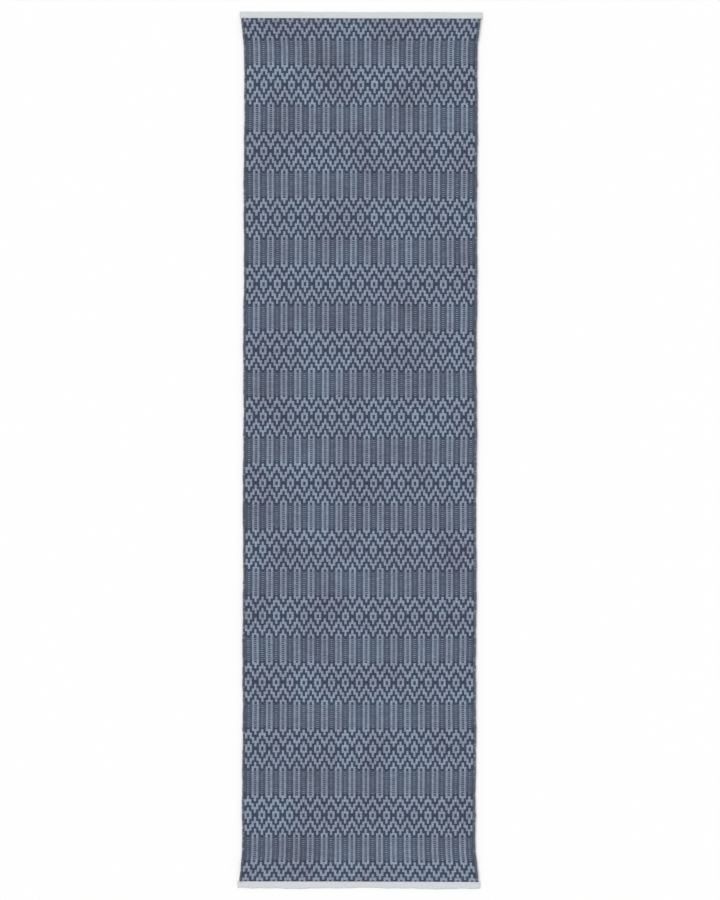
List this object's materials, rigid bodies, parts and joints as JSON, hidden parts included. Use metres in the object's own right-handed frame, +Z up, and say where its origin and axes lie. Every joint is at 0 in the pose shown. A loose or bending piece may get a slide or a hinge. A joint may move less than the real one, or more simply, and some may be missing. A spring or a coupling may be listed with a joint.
{
  "type": "runner rug",
  "caption": "Long narrow flat-woven runner rug with a two-tone zigzag band pattern, corded selvedges and a plain undyed heading hemmed under at each end.",
  "frame": {"origin": "on the floor, under the middle of the rug", "axes": "+X across the rug, +Y along it towards the head end, +Z up off the floor"},
  "size_m": [0.674, 2.44, 0.0077],
  "materials": {
    "field_weave": "matte two-tone denim-blue flat weave",
    "selvedge_yarn": "matte wrapped dark yarn",
    "undyed_cotton": "matte undyed plain weave",
    "sewing_thread": "spun sewing thread with a slight sheen"
  },
  "bodies": {
    "root": {"field_cloth": "field_weave", "selvedge_wrap_left": "selvedge_yarn", "selvedge_wrap_right": "selvedge_yarn", "edge_cord_left": "undyed_cotton", "edge_cord_right": "undyed_cotton", "head_heading": "undyed_cotton", "foot_heading": "undyed_cotton", "head_needle_thread": "sewing_thread", "foot_needle_thread": "sewing_thread", "head_bobbin_thread": "sewing_thread", "foot_bobbin_thread": "sewing_thread"}
  },
  "joints": []
}
